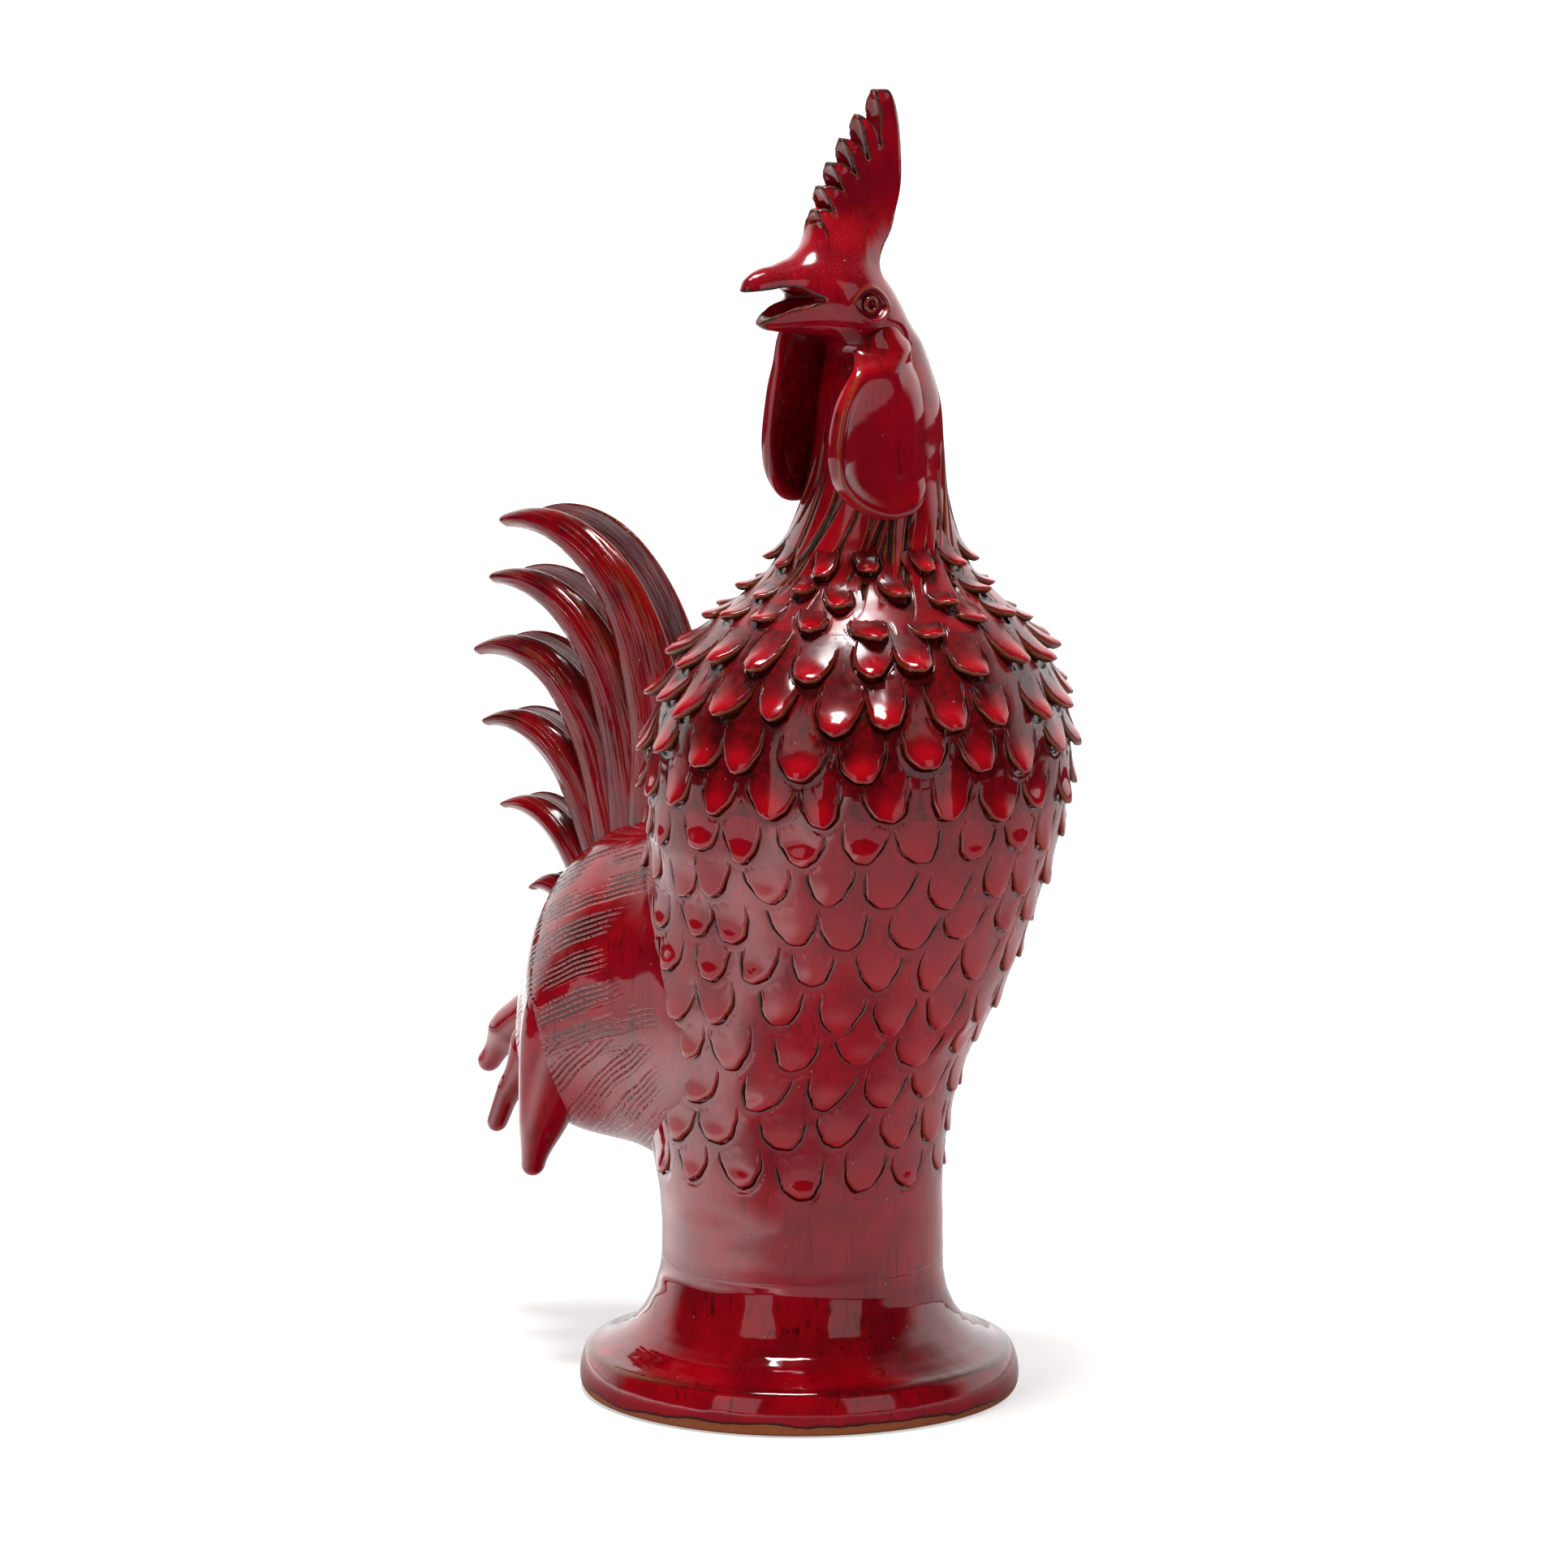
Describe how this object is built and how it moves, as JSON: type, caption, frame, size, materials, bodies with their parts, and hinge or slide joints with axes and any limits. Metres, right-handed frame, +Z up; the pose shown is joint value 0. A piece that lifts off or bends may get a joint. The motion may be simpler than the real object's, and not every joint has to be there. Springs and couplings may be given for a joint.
{
  "type": "pottery rooster",
  "caption": "Hollow glazed earthenware rooster on a thrown flared foot, with lifted scale feathers, a turned crowing head, a toothed comb, hanging wattles and a fanned tail.",
  "frame": {"origin": "middle of the flat underside of the foot, on the surface that the rooster stands on", "axes": "+Z up, +X towards the chest, +Y towards the bird's left side"},
  "size_m": [0.2679, 0.1624, 0.481],
  "materials": {
    "foot": "gloss",
    "body": "gloss",
    "neck": "gloss",
    "rump": "gloss",
    "head": "gloss",
    "comb": "gloss",
    "saddle_feathers": "gloss",
    "tail_feathers": "gloss",
    "beak": "gloss",
    "eyes": "gloss",
    "wattles": "gloss"
  },
  "bodies": {
    "root": {"foot": "foot", "body": "body", "neck": "neck", "rump": "rump", "finger_centre": "saddle_feathers", "finger_right_rear": "saddle_feathers", "finger_right_flank": "saddle_feathers", "finger_left_rear": "saddle_feathers", "finger_left_flank": "saddle_feathers", "tail_feather_right_1": "tail_feathers", "tail_feather_right_2": "tail_feathers", "tail_feather_right_3": "tail_feathers", "tail_feather_right_4": "tail_feathers", "tail_feather_right_5": "tail_feathers", "tail_feather_right_6": "tail_feathers", "tail_feather_left_1": "tail_feathers", "tail_feather_left_2": "tail_feathers", "tail_feather_left_3": "tail_feathers", "tail_feather_left_4": "tail_feathers", "tail_feather_left_5": "tail_feathers", "tail_feather_left_6": "tail_feathers", "head": "head", "beak_upper": "beak", "beak_lower": "beak", "comb": "comb", "eye_right": "eyes", "wattle_right": "wattles", "eye_left": "eyes", "wattle_left": "wattles"}
  },
  "joints": []
}
